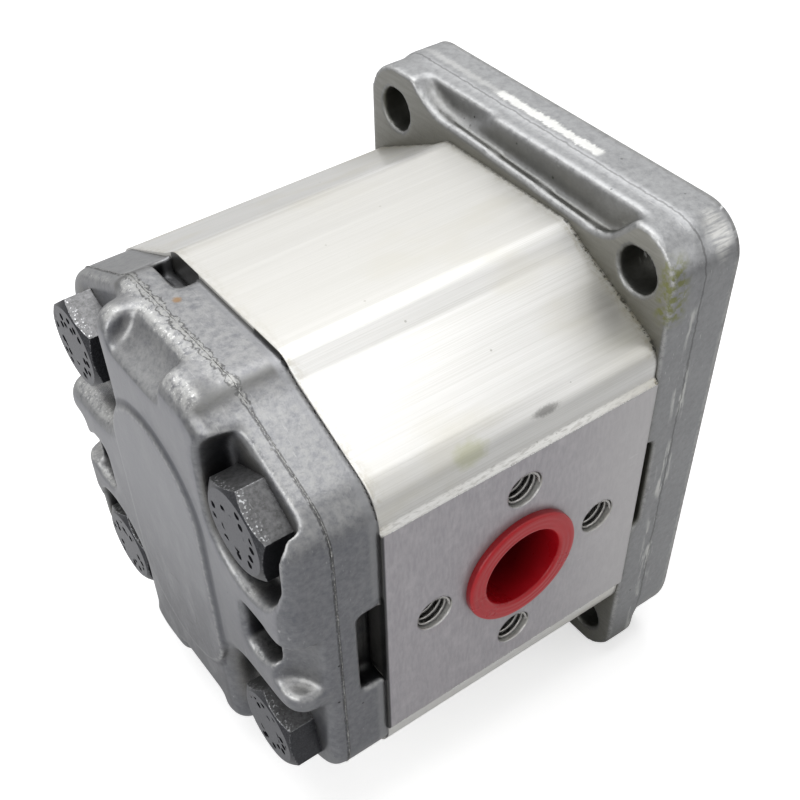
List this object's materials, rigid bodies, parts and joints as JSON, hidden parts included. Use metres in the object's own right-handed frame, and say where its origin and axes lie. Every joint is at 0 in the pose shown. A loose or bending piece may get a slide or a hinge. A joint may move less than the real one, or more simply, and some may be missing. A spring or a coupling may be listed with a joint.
{
  "type": "hydraulic pump",
  "caption": "External gear pump with a flanged front, extruded body, cast rear cover, tapered drive shaft and red plugs in its side ports.",
  "frame": {"origin": "where the drive shaft's axis crosses the mounting flange's front face", "axes": "+X along the drive shaft, out of the mounting face; +Z from the driven gear to the drive gear; the inlet port faces -Y"},
  "size_m": [0.138, 0.0932, 0.115],
  "materials": {
    "flange_casting": "die-cast grey, milled bright on its ear faces",
    "body_extrusion": "extruded, brushed along the shaft direction, nearly white",
    "cover_casting": "die-cast, dull dark grey with worn edges",
    "gear_steel": "case-hardened and ground",
    "key_steel": "bright drawn",
    "plated_steel": "zinc plated",
    "bolt_steel": "black oxide",
    "dowel_steel": "ground",
    "spring_steel": "phosphated",
    "block_alloy": "fine turned",
    "bush_bronze": "bronze back, dull",
    "ring_plastic": "off-white, matt",
    "black_rubber": "matt moulded",
    "brown_rubber": "matt moulded",
    "red_plastic": "moulded, slightly glossy"
  },
  "bodies": {
    "housing": {"cover_bolt_1": "bolt_steel", "cover_bolt_2": "bolt_steel", "cover_bolt_3": "bolt_steel", "cover_bolt_4": "bolt_steel", "front_bearing_block": "block_alloy", "front_body_seal": "black_rubber", "front_dowel_1": "dowel_steel", "front_dowel_2": "dowel_steel", "front_drive_backup_ring": "ring_plastic", "front_drive_bush": "bush_bronze", "front_driven_backup_ring": "ring_plastic", "front_driven_bush": "bush_bronze", "front_flange": "flange_casting", "front_pressure_seal": "black_rubber", "pump_body": "body_extrusion", "rear_bearing_block": "block_alloy", "rear_body_seal": "black_rubber", "rear_cover": "cover_casting", "rear_dowel_1": "dowel_steel", "rear_dowel_2": "dowel_steel", "rear_drive_backup_ring": "ring_plastic", "rear_drive_bush": "bush_bronze", "rear_driven_backup_ring": "ring_plastic", "rear_driven_bush": "bush_bronze", "rear_pressure_seal": "black_rubber", "seal_retaining_ring": "spring_steel", "shaft_seal_case": "plated_steel", "shaft_seal_lip": "brown_rubber", "shaft_seal_spring": "spring_steel"},
    "drive_shaft": {"drive_gear_shaft": "gear_steel", "shaft_key": "key_steel", "shaft_washer": "plated_steel", "shaft_nut": "plated_steel"},
    "driven_shaft": {"driven_gear_shaft": "gear_steel"},
    "inlet_plug": {"inlet_port_plug": "red_plastic"},
    "outlet_plug": {"outlet_port_plug": "red_plastic"}
  },
  "joints": [
    {"name": "drive_spin", "type": "hinge", "parent": "housing", "child": "drive_shaft", "pos_m": [0, 0, 0], "axis": [1, 0, 0], "continuous": true},
    {"name": "driven_spin", "type": "hinge", "parent": "housing", "child": "driven_shaft", "pos_m": [-0.0465, 0, -0.031], "axis": [1, 0, 0], "continuous": true},
    {"name": "inlet_plug_pull", "type": "slide", "parent": "housing", "child": "inlet_plug", "axis": [0, -1, 0], "range_m": [0, 0.04]},
    {"name": "outlet_plug_pull", "type": "slide", "parent": "housing", "child": "outlet_plug", "axis": [0, 1, 0], "range_m": [0, 0.04]}
  ],
  "couplings": [
    {"joint": "driven_spin", "follows": "drive_spin", "ratio": -1}
  ]
}
